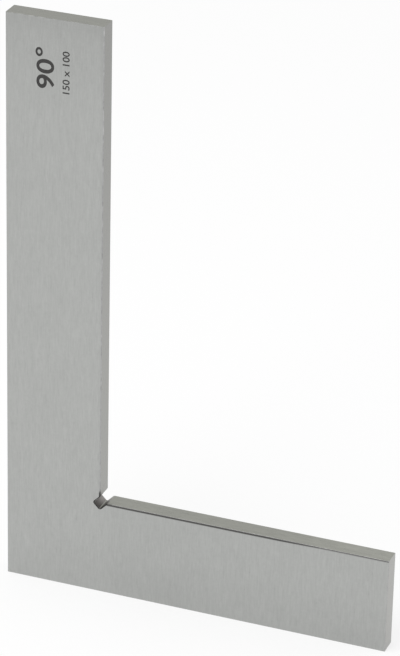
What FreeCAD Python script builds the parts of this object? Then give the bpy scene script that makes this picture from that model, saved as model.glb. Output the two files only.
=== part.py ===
import FreeCAD, Part
import os

import Sketcher

# Flat steel square: two legs of one flat section, exactly square to each other inside and outside.
# It stands on the edge of its short leg, +Z up along the long leg, with +X from the heel to the toe.
# The origin is the centre of the standing edge. The broad faces look along -Y and +Y. Millimetres.

SIZES = {
    "long_leg": 150.0,            # outer length of the standing leg, standing edge to tip
    "short_leg": 100.0,           # outer length of the lying leg, back edge to toe
    "long_leg_width": 25.0,       # back edge to inner edge
    "short_leg_width": 25.0,      # standing edge to inner edge
    "thickness": 5.0,             # broad face to broad face
    "inner_bevel": 0.2,           # bevel between the broad faces and the inner edges and slot
    "outer_bevel": 0.05,          # broken edge between the broad faces and the outer edges and ends
    "slot_width": 2.4,            # relief slot in the inner corner, wall to wall
    "slot_depth": 1.4,            # relief slot's floor beyond the inner corner, along the diagonal
    "slot_floor_radius": 0.4,     # round between the slot's walls and its floor
    "slot_mouth_radius": 0.8,     # round between the slot's walls and the inner edges
}
SLOT_ANGLE = 45.0                 # the slot halves the right angle between the legs
NODE = "flat_square"
TOLERANCE = 1e-4


def add_sizes(doc):
    """Put the driving dimensions in a sheet, one named cell each."""
    sheet = doc.addObject("Spreadsheet::Sheet", "Sizes")
    for row, (alias, size) in enumerate(SIZES.items(), start=1):
        sheet.set(f"A{row}", alias)
        sheet.set(f"B{row}", str(size))
        sheet.setAlias(f"B{row}", alias)
    doc.recompute()


def broad_plane(body):
    """The body's own plane that the broad faces lie along."""
    return next(plane for plane in body.Origin.OriginFeatures if plane.Role == "XZ_Plane")


def add_sketch(body, name):
    """Start a sketch in the plane halfway between the broad faces: x along the short leg, y up."""
    sketch = body.newObject("Sketcher::SketchObject", name)
    sketch.AttachmentSupport = [(broad_plane(body), "")]
    sketch.MapMode = "FlatFace"
    return sketch


def add_loop(sketch, points):
    """Draw a closed loop of straight lines, joined end to end; the first one starts points[0]."""
    ends = points[1:] + points[:1]
    for start, end in zip(points, ends):
        line = Part.LineSegment(FreeCAD.Vector(*start, 0), FreeCAD.Vector(*end, 0))
        sketch.addGeometry(line, False)
    for line in range(len(points)):
        following = (line + 1) % len(points)
        sketch.addConstraint(Sketcher.Constraint("Coincident", line, 2, following, 1))


def bind(sketch, constraint, formula):
    """Add a dimension to a sketch and tie it to the sheet."""
    index = sketch.addConstraint(constraint)
    sketch.setExpression(f"Constraints[{index}]", formula)


def draw_legs(body):
    """The L seen square on, from the heel at the sketch's origin."""
    sketch = add_sketch(body, "LegsOutline")
    toe = SIZES["short_leg"]
    tip = SIZES["long_leg"]
    across = SIZES["long_leg_width"]
    up = SIZES["short_leg_width"]
    add_loop(sketch, [(0, 0), (toe, 0), (toe, up), (across, up), (across, tip), (0, tip)])
    for line in (0, 2, 4):
        sketch.addConstraint(Sketcher.Constraint("Horizontal", line))
    for line in (1, 3, 5):
        sketch.addConstraint(Sketcher.Constraint("Vertical", line))
    sketch.addConstraint(Sketcher.Constraint("Coincident", 0, 1, -1, 1))
    bind(sketch, Sketcher.Constraint("DistanceX", 0, 1, 0, 2, toe), "Sizes.short_leg")
    bind(sketch, Sketcher.Constraint("DistanceY", 1, 1, 1, 2, up), "Sizes.short_leg_width")
    bind(sketch, Sketcher.Constraint("DistanceX", 4, 2, 4, 1, across), "Sizes.long_leg_width")
    bind(sketch, Sketcher.Constraint("DistanceY", 5, 2, 5, 1, tip), "Sizes.long_leg")
    return sketch


def draw_slot(body):
    """The relief slot, drawn along its own axis: it starts in the open and ends at its floor.

    The sketch's origin is the inner corner, and its x axis points out of the corner.
    """
    sketch = add_sketch(body, "SlotOutline")
    turn = FreeCAD.Rotation(FreeCAD.Vector(0, 0, 1), SLOT_ANGLE)
    corner = FreeCAD.Vector(SIZES["long_leg_width"], SIZES["short_leg_width"], 0)
    sketch.AttachmentOffset = FreeCAD.Placement(corner, turn)
    sketch.setExpression("AttachmentOffset.Base.x", "Sizes.long_leg_width")
    sketch.setExpression("AttachmentOffset.Base.y", "Sizes.short_leg_width")
    deep = SIZES["slot_depth"]
    wide = SIZES["slot_width"]
    half = wide / 2
    add_loop(sketch, [(-deep, -half), (wide, -half), (wide, half), (-deep, half)])
    for line in (0, 2):
        sketch.addConstraint(Sketcher.Constraint("Horizontal", line))
    sketch.addConstraint(Sketcher.Constraint("Vertical", 1))
    sketch.addConstraint(Sketcher.Constraint("Symmetric", 3, 1, 3, 2, -1))
    bind(sketch, Sketcher.Constraint("DistanceY", 1, 1, 1, 2, wide), "Sizes.slot_width")
    bind(sketch, Sketcher.Constraint("DistanceX", 0, 1, -1, 1, deep), "Sizes.slot_depth")
    bind(sketch, Sketcher.Constraint("DistanceX", -1, 1, 0, 2, wide), "Sizes.slot_width")
    return sketch


def edges_across(shape, spots):
    """Names of the edges that run from broad face to broad face at the given places (x, z)."""
    names = []
    for number, edge in enumerate(shape.Edges, start=1):
        ends = [vertex.Point for vertex in edge.Vertexes]
        if len(ends) != 2 or (ends[0] - ends[1]).cross(FreeCAD.Vector(0, 1, 0)).Length > TOLERANCE:
            continue
        if any(abs(ends[0].x - x) < TOLERANCE and abs(ends[0].z - z) < TOLERANCE for x, z in spots):
            names.append(f"Edge{number}")
    return names


def rim_edges(shape, outer):
    """Names of the edges around both broad faces: those of the outer edges and ends, or the rest."""
    box = shape.BoundBox
    names = []
    for number, edge in enumerate(shape.Edges, start=1):
        middle = edge.valueAt((edge.FirstParameter + edge.LastParameter) / 2)
        if min(middle.y - box.YMin, box.YMax - middle.y) > TOLERANCE:
            continue
        off = (middle.x - box.XMin, box.XMax - middle.x, middle.z - box.ZMin, box.ZMax - middle.z)
        if (min(off) < TOLERANCE) == outer:
            names.append(f"Edge{number}")
    return names


def slot_corners():
    """Where the slot's walls meet its floor and the inner edges, before they are rounded."""
    along = FreeCAD.Vector(1, 0, 1).normalize()
    aside = FreeCAD.Vector(-1, 0, 1).normalize()
    inner = FreeCAD.Vector(SIZES["long_leg_width"], 0, SIZES["short_leg_width"])
    half = SIZES["slot_width"] / 2
    floor = [inner - along * SIZES["slot_depth"] + aside * side for side in (half, -half)]
    reach = half * 2 ** 0.5
    mouth = [inner + FreeCAD.Vector(0, 0, reach), inner + FreeCAD.Vector(reach, 0, 0)]
    return [(point.x, point.z) for point in floor], [(point.x, point.z) for point in mouth]


def add_feature(body, kind, name, settings):
    """Add a PartDesign feature, set its properties and work it out."""
    feature = body.newObject(f"PartDesign::{kind}", name)
    for prop, setting in settings.items():
        setattr(feature, prop, setting)
    body.Document.recompute()
    return feature


def dress_edges(body, kind, name, edges, alias):
    """Round or bevel edges of the body as it stands, to a size of the sheet."""
    size = "Radius" if kind == "Fillet" else "Size"
    feature = add_feature(body, kind, name, {"Base": (body.Tip, edges), size: SIZES[alias]})
    feature.setExpression(size, f"Sizes.{alias}")
    return feature


def make_square(doc):
    """The whole square, in one body whose own origin is the heel."""
    body = doc.addObject("PartDesign::Body", "FlatSquare")
    body.Label = NODE
    legs = add_feature(body, "Pad", "Legs", {
        "Profile": draw_legs(body), "SideType": "Symmetric", "Length": SIZES["thickness"]})
    legs.setExpression("Length", "Sizes.thickness")
    slot = add_feature(body, "Pocket", "ReliefSlot", {
        "Profile": draw_slot(body), "SideType": "Symmetric", "Type": "ThroughAll"})
    if slot.Shape.Volume >= legs.Shape.Volume:
        raise ValueError("the relief slot cuts nothing")
    floor, mouth = slot_corners()
    dress_edges(body, "Fillet", "SlotFloorRounds", edges_across(body.Shape, floor), "slot_floor_radius")
    dress_edges(body, "Fillet", "SlotMouthRounds", edges_across(body.Shape, mouth), "slot_mouth_radius")
    dress_edges(body, "Chamfer", "InnerBevel", rim_edges(body.Shape, outer=False), "inner_bevel")
    dress_edges(body, "Chamfer", "OuterBevel", rim_edges(body.Shape, outer=True), "outer_bevel")
    body.setExpression("Placement.Base.x", "-Sizes.short_leg / 2")
    doc.recompute()
    return body


def check(doc, body):
    """Stop if any object failed to work out, or the square isn't one sound solid."""
    for item in doc.Objects:
        if "Invalid" in item.State or "Error" in item.State:
            raise ValueError(f"{item.Name} is {item.State}")
    shape = body.Shape
    if shape.isNull() or not shape.isValid() or len(shape.Solids) != 1:
        raise ValueError("the square is not one valid solid")


def main():
    doc = FreeCAD.newDocument("FlatSquare")
    add_sizes(doc)
    body = make_square(doc)
    check(doc, body)
    os.makedirs("parts", exist_ok=True)
    body.Shape.exportStep(f"parts/{body.Label}.step")
    box = body.Shape.BoundBox
    print(f"{body.Label}: {body.Shape.Volume:.1f} mm3, {len(body.Shape.Faces)} faces, {box}")


main()
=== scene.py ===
import math

import bpy
from mathutils import Matrix, Vector


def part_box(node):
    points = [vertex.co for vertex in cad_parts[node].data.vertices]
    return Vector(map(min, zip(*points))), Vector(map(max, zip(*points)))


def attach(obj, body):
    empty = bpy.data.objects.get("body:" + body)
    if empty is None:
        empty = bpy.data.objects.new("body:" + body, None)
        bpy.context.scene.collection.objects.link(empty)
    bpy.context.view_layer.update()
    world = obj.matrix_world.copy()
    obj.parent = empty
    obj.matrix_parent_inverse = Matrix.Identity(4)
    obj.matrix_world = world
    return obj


# Flat steel square, standing on its short leg. Metres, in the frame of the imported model:
# +Z up the long leg, +X from heel to toe, the broad faces towards -Y and +Y.

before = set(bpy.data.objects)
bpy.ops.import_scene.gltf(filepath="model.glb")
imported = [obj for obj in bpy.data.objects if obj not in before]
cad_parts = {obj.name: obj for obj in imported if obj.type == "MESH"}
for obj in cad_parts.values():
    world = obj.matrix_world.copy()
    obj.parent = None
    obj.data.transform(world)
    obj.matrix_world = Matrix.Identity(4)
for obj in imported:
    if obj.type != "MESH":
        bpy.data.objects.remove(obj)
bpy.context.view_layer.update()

MM = 0.001
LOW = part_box("flat_square")[0]


# ---------------------------------------------------------------- shader helpers

class Shader:
    """The nodes of one material or world, added one by one."""

    def __init__(self, owner):
        owner.use_nodes = True
        self.owner = owner
        self.tree = owner.node_tree
        self.tree.nodes.clear()

    def node(self, kind, inputs=(), **settings):
        """Add a node; inputs maps socket names or numbers to values or other sockets."""
        node = self.tree.nodes.new("ShaderNode" + kind)
        for name, setting in settings.items():
            setattr(node, name, setting)
        for name, value in dict(inputs).items():
            if isinstance(value, bpy.types.NodeSocket):
                self.tree.links.new(value, node.inputs[name])
            else:
                node.inputs[name].default_value = value
        return node

    def math(self, operation, *values):
        return self.node("Math", enumerate(values), operation=operation).outputs[0]

    def add(self, *values):
        """The sum of two or more numbers."""
        total = values[0]
        for value in values[1:]:
            total = self.math("ADD", total, value)
        return total

    def times(self, *values):
        """The product of two or more numbers."""
        product = values[0]
        for value in values[1:]:
            product = self.math("MULTIPLY", product, value)
        return product

    def ramp(self, value, start, end):
        """0 up to start, 1 from end on, smooth between them; start may be above end."""
        inputs = {"Value": value, "From Min": start, "From Max": end}
        return self.node("MapRange", inputs, interpolation_type="SMOOTHSTEP").outputs["Result"]

    def band(self, value, start, full, wane, end):
        """1 from full to wane, 0 before start and after end."""
        return self.times(self.ramp(value, start, full), self.ramp(value, end, wane))

    def less(self, loss):
        """What is left of 1."""
        return self.math("SUBTRACT", 1.0, loss)

    def mix(self, factor, first, second):
        """A number between first and second."""
        inputs = {"Factor": factor, 2: first, 3: second}
        return self.node("Mix", inputs, data_type="FLOAT").outputs[0]

    def blend(self, factor, first, second):
        """A colour between first and second."""
        inputs = {0: factor, 6: first, 7: second}
        return self.node("Mix", inputs, data_type="RGBA").outputs[2]

    def scale(self, vector, size):
        """A vector or colour times a number."""
        return self.node("VectorMath", {0: vector, 3: size}, operation="SCALE").outputs[0]

    def split(self, vector):
        return self.node("SeparateXYZ", {0: vector}).outputs

    def join(self, x, y, z):
        return self.node("CombineXYZ", {0: x, 1: y, 2: z}).outputs[0]

    def noise(self, vector, scale=1.0, detail=2.0):
        """Noise about 0, mostly between -0.25 and 0.25."""
        value = self.node("TexNoise", {"Vector": vector, "Scale": scale, "Detail": detail}).outputs[0]
        return self.math("SUBTRACT", value, 0.5)

    def finish(self, surface, output="OutputMaterial"):
        self.node(output, {"Surface": surface})
        return self.owner


def grey(level, warmth=0.0):
    """A nearly neutral colour as linear RGB; warmth adds red and takes blue."""
    return (level * (1 + warmth), level, level * (1 - warmth), 1.0)


# ---------------------------------------------------------------- ground steel

# Lit and shaded copies of one steel: the narrow faces are painted darker than the broad ones, as shade
# from how light falls on them.
BROAD = (0.442, 0.449, 0.437)           # broad faces
INNER_SIDE_SHADED = (0.352, 0.353, 0.337)      # inner edge of the long leg, painted darker as shade
OUTER_SIDE_SHADED = (0.398, 0.397, 0.381)      # back edge and toe, painted a little darker as shade
UPWARD_SHADED = (0.356, 0.360, 0.325)          # edges and ends that look up or down, painted darker as shade, with a straw tint
BEVEL = (0.41, 0.41, 0.41)              # bevels between them
SHADE_BLACK = grey(0.055, 0.02)               # painted shade in black along the short leg's inner edge and round the slot's mouth
SLOT_SHADED_FRONT = grey(0.12, 0.06)           # milled walls of the relief slot, a darker finish, with painted shade darker towards the front
SLOT_BACK = grey(0.36, 0.04)

# Grinding marks: pitch across them and length along them in mm, and how much they tell.
STREAKS = ((0.9, 9.0, 0.09), (0.35, 4.0, 0.22), (0.14, 2.0, 0.20))
SPECKLES = ((0.12, 0.06), (0.55, 0.07), (1.8, 0.12))       # patches per mm, and how much they tell
SPECKLE_DETAIL = 3.0
EDGE_GRAIN = 1.6                        # the grain on narrow faces, against that on broad ones

ROUGHNESS = 0.36
SLOT_ROUGHNESS = 0.55
GRAIN_IN_ROUGHNESS = 0.8
BUMP_STRENGTH = 0.4
BUMP_HEIGHT = 0.02 * MM

# How far a face looks in a direction, 0 to 1, from where the kind of face begins to where it is sure.
BROAD_FACING = (0.85, 0.97)
NARROW_FACING = (0.45, 0.25)
LEVEL_FACING = (0.7, 0.9)
SLANTED_FACING = (0.35, 0.48)           # right and up at once, as a product

# From here on places are in mm from the heel: right along the short leg, up along the long leg.
CORNER = 25.0                           # the inner corner, both ways
MIDDLE = 50.0                           # half the short leg's length
TIP = 150.0

# Painted shade on the broad faces, darker towards the tip and the standing edge and over the short leg:
# along which way, from and to, and the share lost in the end.
BROAD_PAINTED_SHADE = (
    ("up", 50.0, 120.0, 0.025),         # slowly, then faster towards the tip
    ("up", 122.0, 150.0, 0.06),
    ("up", 144.0, 150.5, 0.05),
    ("up", 16.0, 0.0, 0.045),           # towards the standing edge
    ("right", 22.0, 32.0, 0.028),       # the whole short leg
)
INNER_EDGE_PAINTED_SHADE = 0.035                      # painted shade along the long leg's inner edge

# Painted shade and painted light on the narrow faces, set out the same way; a gain is lighter.
INNER_SIDE_PAINTED_SHADE = (50.0, 160.0, 0.14)   # up
OUTER_SIDE_FRONT_PAINTED_SHADE = (-1.0, -2.5, 0.07)      # towards the front face
OUTER_SIDE_FOOT_PAINTED_LIGHT = (12.0, 3.0, 0.025)       # down
SHORT_LEG_PAINTED_LIGHT = (66.0, 95.0, 0.1)      # right
TIP_PAINTED_SHADE = (100.0, 110.0, 0.085)        # up
TIP_BEVEL_SHADE = 0.4                         # painted shade: the tip's bevels darker, against the others
WEAR_DENSITY = 0.7                      # light and dark patches along the bevels, per mm
WEAR_DETAIL = 4.0


def grinding_grain(shader, place, upward):
    """Marks up the long leg and lengthwise on what looks up or down, over patches of handling."""
    x, y, z = shader.split(place)
    across = shader.mix(upward, x, z)
    along = shader.mix(upward, z, x)
    layers = []
    for pitch, length, strength in STREAKS:
        vector = shader.join(
            shader.times(across, 1 / pitch), shader.times(y, 1 / pitch), shader.times(along, 1 / length))
        layers.append(shader.times(shader.noise(vector), strength))
    for density, strength in SPECKLES:
        layers.append(shader.times(shader.noise(place, density, SPECKLE_DETAIL), strength))
    return shader.add(*layers)


def change(shader, value, start, end, share):
    """A share that grows from 0 to its full size between two places."""
    return shader.times(shader.ramp(value, start, end), share)


def broad_painted_shade(shader, right, up):
    """How much of its colour a broad face keeps under painted shade: less by the tip, the standing edge
    and inner edge.
    """
    ways = {"right": right, "up": up}
    painted_shades = [change(shader, ways[way], *steps) for way, *steps in BROAD_PAINTED_SHADE]
    inner = shader.times(
        shader.ramp(right, CORNER - 1.1, CORNER - 0.2), shader.ramp(up, CORNER + 1.0, CORNER + 5.0))
    painted_shades.append(shader.times(inner, INNER_EDGE_PAINTED_SHADE))
    return shader.less(shader.add(*painted_shades))


def edge_shaded_color(shader, right, through, up, upward):
    """Colour of the narrow faces: painted darker than the broad faces, with painted shade and painted
    light along their length.
    """
    inner = shader.scale(INNER_SIDE_SHADED, shader.less(change(shader, up, *INNER_SIDE_PAINTED_SHADE)))
    front = shader.less(change(shader, through, *OUTER_SIDE_FRONT_PAINTED_SHADE))
    foot = change(shader, up, *OUTER_SIDE_FOOT_PAINTED_LIGHT)
    outer = shader.scale(OUTER_SIDE_SHADED, shader.add(front, foot))
    far = shader.math("ABSOLUTE", shader.math("SUBTRACT", right, MIDDLE))
    side = shader.blend(shader.ramp(far, MIDDLE - 1.0, MIDDLE - 0.5), inner, outer)
    level = shader.add(
        shader.less(change(shader, up, *TIP_PAINTED_SHADE)), change(shader, right, *SHORT_LEG_PAINTED_LIGHT))
    return shader.blend(upward, side, shader.scale(UPWARD_SHADED, level))


def painted_edge_shade(shader, right, up, bevel):
    """Painted shade in black: along the short leg's inner edge, and round the mouth of the slot."""
    foot = shader.mix(shader.ramp(right, 70.0, 85.0), CORNER - 0.7, CORNER - 0.5)
    line = shader.times(
        shader.ramp(shader.math("SUBTRACT", up, foot), 0.05, 0.42),
        shader.ramp(up, CORNER, CORNER - 0.04),
        shader.ramp(right, CORNER + 1.0, CORNER + 2.0))
    above_slot = shader.times(
        shader.ramp(right, CORNER - 0.5, CORNER - 0.25),
        shader.band(up, CORNER + 1.0, CORNER + 1.4, CORNER + 2.4, CORNER + 3.6))
    slot_rim = shader.times(
        bevel,
        shader.band(right, CORNER - 2.7, CORNER - 2.1, CORNER + 2.8, CORNER + 3.4),
        shader.band(up, CORNER - 3.0, CORNER - 2.4, CORNER + 2.6, CORNER + 3.6))
    return shader.math("MAXIMUM", slot_rim, shader.math("MAXIMUM", line, above_slot))


def steel_material():
    shader = Shader(bpy.data.materials.new("ground_steel"))
    coordinates = shader.node("TexCoord").outputs
    place = shader.scale(coordinates["Object"], 1 / MM)
    heel = Vector((LOW.x, 0, LOW.z)) / MM
    from_heel = shader.node("VectorMath", {0: place, 1: heel}, operation="SUBTRACT").outputs[0]
    right, through, up = shader.split(from_heel)

    facing = [shader.math("ABSOLUTE", axis) for axis in shader.split(coordinates["Normal"])]
    broad = shader.ramp(facing[1], *BROAD_FACING)
    edge = shader.ramp(facing[1], *NARROW_FACING)
    upward = shader.ramp(facing[2], *LEVEL_FACING)
    slot = shader.times(edge, shader.ramp(shader.times(facing[0], facing[2]), *SLANTED_FACING))
    bevel = shader.less(shader.math("MAXIMUM", broad, edge))

    # Broad faces, with painted shade.
    color = shader.scale(BROAD, broad_painted_shade(shader, right, up))
    # Narrow faces, with painted shade and painted light.
    color = shader.blend(edge, color, edge_shaded_color(shader, right, through, up, upward))
    # Painted shade darkens the tip's bevels; the noise is wear along all bevels.
    tip_bevel_shade = shader.times(shader.ramp(up, TIP - 0.5, TIP - 0.2), shader.ramp(facing[2], 0.3, 0.6))
    wear_and_tip_shade = shader.add(shader.mix(tip_bevel_shade, 1.0, TIP_BEVEL_SHADE), shader.noise(place, WEAR_DENSITY, WEAR_DETAIL))
    color = shader.blend(bevel, color, shader.scale(BEVEL, wear_and_tip_shade))
    # Painted shade: black along the short leg's inner edge and round the mouth of the slot.
    edge_shade_amount = shader.times(painted_edge_shade(shader, right, up, bevel), shader.less(edge))
    color = shader.blend(edge_shade_amount, color, SHADE_BLACK)
    # Slot walls: a darker milled finish, with painted shade darker towards the front.
    color = shader.blend(slot, color, shader.blend(shader.ramp(through, -2.4, 2.2), SLOT_SHADED_FRONT, SLOT_BACK))

    grain = shader.times(grinding_grain(shader, place, upward), shader.mix(edge, 1.0, EDGE_GRAIN))
    color = shader.scale(color, shader.add(grain, 1.0))
    roughness = shader.add(
        shader.mix(slot, ROUGHNESS, SLOT_ROUGHNESS), shader.times(grain, GRAIN_IN_ROUGHNESS))
    bump = shader.node("Bump", {"Strength": BUMP_STRENGTH, "Distance": BUMP_HEIGHT, "Height": grain})
    steel = shader.node("BsdfPrincipled", {
        "Base Color": color, "Roughness": roughness, "Metallic": 1.0, "Normal": bump.outputs[0]})
    return shader.finish(steel.outputs[0])


# ---------------------------------------------------------------- marks

MARK_DARK = grey(0.02, 0.03)
MARK_LIGHT = grey(0.06, 0.03)
MARK_PROUD = 0.004 * MM
MARK_DEPTH = 0.02 * MM
MARK_WEIGHT = 0.014        # how far each stroke is fattened, against the height of the type
MARK_SPECKLES = 9000.0     # per metre
MARK_SHINE = 0.3

# Name and text, then in mm: height of the figures, length of the line, and its near corner from the heel.
MARKS = (
    ("angle_mark", "90°", 4.8, 10.2, 7.6, 132.3),
    ("size_mark", "150 x 100", 1.8, 10.6, 14.5, 131.8),
)


def mark_material():
    shader = Shader(bpy.data.materials.new("laser_mark"))
    coordinates = shader.node("TexCoord").outputs
    speckle = shader.ramp(shader.noise(coordinates["Object"], MARK_SPECKLES), -0.25, 0.25)
    color = shader.blend(speckle, MARK_DARK, MARK_LIGHT)
    roughness = shader.mix(speckle, 0.5, 0.7)
    oxide = shader.node("BsdfPrincipled", {
        "Base Color": color, "Roughness": roughness, "Metallic": MARK_SHINE})
    return shader.finish(oxide.outputs[0])


def add_mark(name, text, height, length, right, up, material):
    """Plain numerals burnt into the front face, read from the bottom up."""
    curve = bpy.data.curves.new(name, "FONT")
    curve.body = text
    curve.offset = MARK_WEIGHT
    curve.extrude = (MARK_PROUD + MARK_DEPTH) / 2
    writing = bpy.data.objects.new(name + "_text", curve)
    bpy.context.scene.collection.objects.link(writing)
    bpy.context.view_layer.update()
    mesh = bpy.data.meshes.new_from_object(writing)
    bpy.data.objects.remove(writing)
    corners = [vertex.co for vertex in mesh.vertices]
    low = Vector(min(corner[axis] for corner in corners) for axis in range(3))
    high = Vector(max(corner[axis] for corner in corners) for axis in range(3))
    run, rise = length / (high.x - low.x), height / (high.y - low.y)
    near = Vector((LOW.x + right + height, LOW.y + (MARK_DEPTH - MARK_PROUD) / 2, LOW.z + up))
    for vertex in mesh.vertices:
        along, over, out = vertex.co - Vector((low.x, low.y, 0))
        vertex.co = near + Vector((-over * rise, -out, along * run))
    mesh.materials.clear()
    mesh.materials.append(material)
    mark = bpy.data.objects.new(name, mesh)
    bpy.context.scene.collection.objects.link(mark)
    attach(mark, "root")


# ---------------------------------------------------------------- camera, floor and light

CAMERA_TARGET = Vector((-0.000692, 0.0, 0.076382))
CAMERA_AZIMUTH = math.radians(20.646)
CAMERA_ELEVATION = math.radians(25.602)
CAMERA_ROLL = math.radians(1.271)
CAMERA_DISTANCE = 0.84111
CAMERA_LENS = 193.363


def add_camera():
    level = math.cos(CAMERA_ELEVATION)
    back = Vector((
        math.sin(CAMERA_AZIMUTH) * level, -math.cos(CAMERA_AZIMUTH) * level, math.sin(CAMERA_ELEVATION)))
    right = Vector((0, 0, 1)).cross(back).normalized()
    right = Matrix.Rotation(CAMERA_ROLL, 3, back) @ right
    up = back.cross(right)
    camera = bpy.data.objects.new("camera", bpy.data.cameras.new("camera"))
    camera.data.lens = CAMERA_LENS
    camera.data.clip_start = 0.01
    place = CAMERA_TARGET + back * CAMERA_DISTANCE
    camera.matrix_world = Matrix.Translation(place) @ Matrix((right, up, back)).transposed().to_4x4()
    bpy.context.scene.collection.objects.link(camera)
    bpy.context.scene.camera = camera


FLOOR_HALF = 8.0
FLOOR_COLOR = grey(0.95)
WHITENESS = 0.7            # how much of the floor shows as plain white, to the eye and in the metal
HORIZON = grey(1.0)
ZENITH = grey(0.82)
HORIZON_BAND = 0.12        # height at which the sky has turned from horizon to zenith, 1 being straight up
KEY_PLACE = Vector((-0.35, -0.5, 0.9))
KEY_SIZE = 0.8
KEY_POWER = 4.2


def add_floor():
    shader = Shader(bpy.data.materials.new("floor"))
    ray = shader.node("LightPath").outputs
    seen = shader.math("MAXIMUM", ray["Is Camera Ray"], ray["Is Glossy Ray"])
    seen = shader.math("MAXIMUM", seen, ray["Is Transmission Ray"])
    shade = shader.node("BsdfDiffuse", {"Color": FLOOR_COLOR})
    white = shader.node("Emission", {"Strength": 1.0})
    mix = shader.node("MixShader", {
        0: shader.times(seen, WHITENESS), 1: shade.outputs[0], 2: white.outputs[0]})
    mesh = bpy.data.meshes.new("floor")
    half = FLOOR_HALF
    corners = [(-half, -half, 0), (half, -half, 0), (half, half, 0), (-half, half, 0)]
    mesh.from_pydata(corners, [], [(0, 1, 2, 3)])
    mesh.materials.append(shader.finish(mix.outputs[0]))
    floor = bpy.data.objects.new("floor", mesh)
    floor.location.z = LOW.z
    bpy.context.scene.collection.objects.link(floor)


def add_world():
    """A pale studio: white at the horizon, a little darker overhead."""
    shader = Shader(bpy.data.worlds.new("studio"))
    height = shader.split(shader.node("TexCoord").outputs["Generated"])[2]
    color = shader.blend(shader.ramp(height, 0.0, HORIZON_BAND), HORIZON, ZENITH)
    sky = shader.node("Background", {"Color": color, "Strength": 1.0})
    bpy.context.scene.world = shader.finish(sky.outputs[0], "OutputWorld")


def add_softbox():
    """One broad soft light from the upper left, turned to the foot of the square."""
    light = bpy.data.lights.new("key", "AREA")
    light.shape = "SQUARE"
    light.size = KEY_SIZE
    light.energy = KEY_POWER
    lamp = bpy.data.objects.new("key", light)
    lamp.location = KEY_PLACE
    lamp.rotation_euler = (-KEY_PLACE).to_track_quat("-Z", "Y").to_euler()
    bpy.context.scene.collection.objects.link(lamp)


add_camera()
add_world()
add_floor()
add_softbox()

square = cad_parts["flat_square"]
square.material_slots[0].material = steel_material()

mark_paint = mark_material()
for name, text, *sizes in MARKS:
    add_mark(name, text, *(size * MM for size in sizes), mark_paint)

bpy.context.scene.view_settings.view_transform = "Standard"
